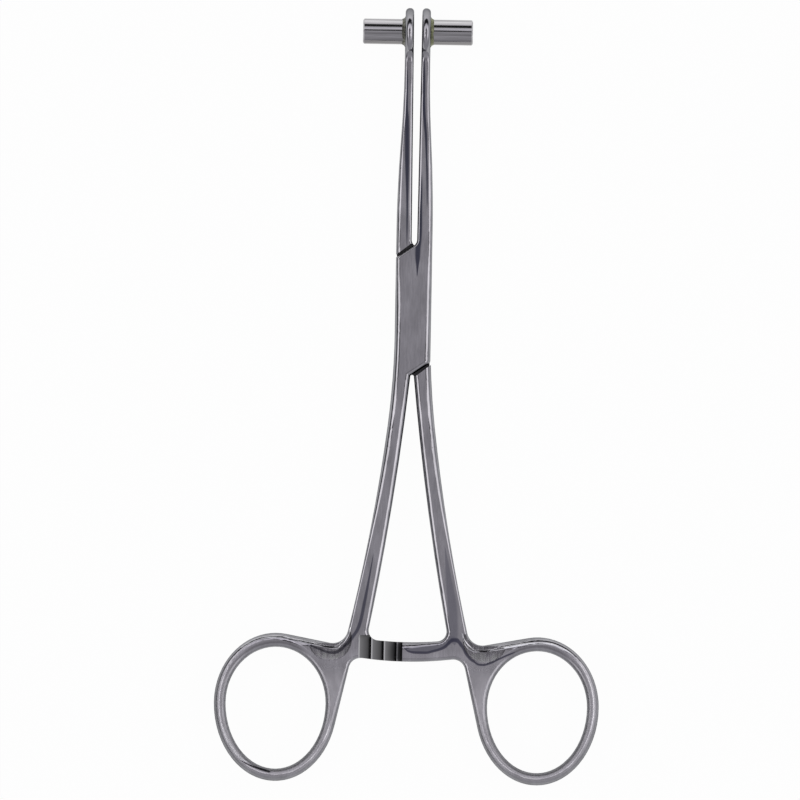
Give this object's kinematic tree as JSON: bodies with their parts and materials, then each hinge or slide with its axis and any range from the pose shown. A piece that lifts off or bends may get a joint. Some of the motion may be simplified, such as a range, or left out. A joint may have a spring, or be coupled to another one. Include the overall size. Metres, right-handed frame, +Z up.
{
  "type": "piercing forceps",
  "caption": "Ring-handled box-lock forceps whose thin jaws end in round pads, each with a short open guide tube pointing outward on one shared axis.",
  "frame": {"origin": "pivot axis at the flat underside of the box lock", "axes": "+Y from the pivot towards the jaw tips, +X to the right seen from above, +Z up out of the box lock's top face along the pivot axis"},
  "size_m": [0.079, 0.1589, 0.0098],
  "materials": {
    "polished_steel": "stainless steel, flat faces satin, rounded edges and ring ends mirror polished",
    "tube_steel": "drawn stainless tube, polished along its length",
    "braze": "dull olive brazing metal with soft uneven edges"
  },
  "bodies": {
    "box_side": {"box_half": "polished_steel", "pivot_pin": "polished_steel", "right_guide_tube": "tube_steel", "right_braze_ring": "braze"},
    "through_side": {"through_half": "polished_steel", "left_guide_tube": "tube_steel", "left_braze_ring": "braze"}
  },
  "joints": [
    {"name": "box_lock_hinge", "type": "hinge", "parent": "box_side", "child": "through_side", "pos_m": [0, 0, 0.0028], "axis": [0, 0, 1], "range_deg": [-1.5, 40]}
  ]
}
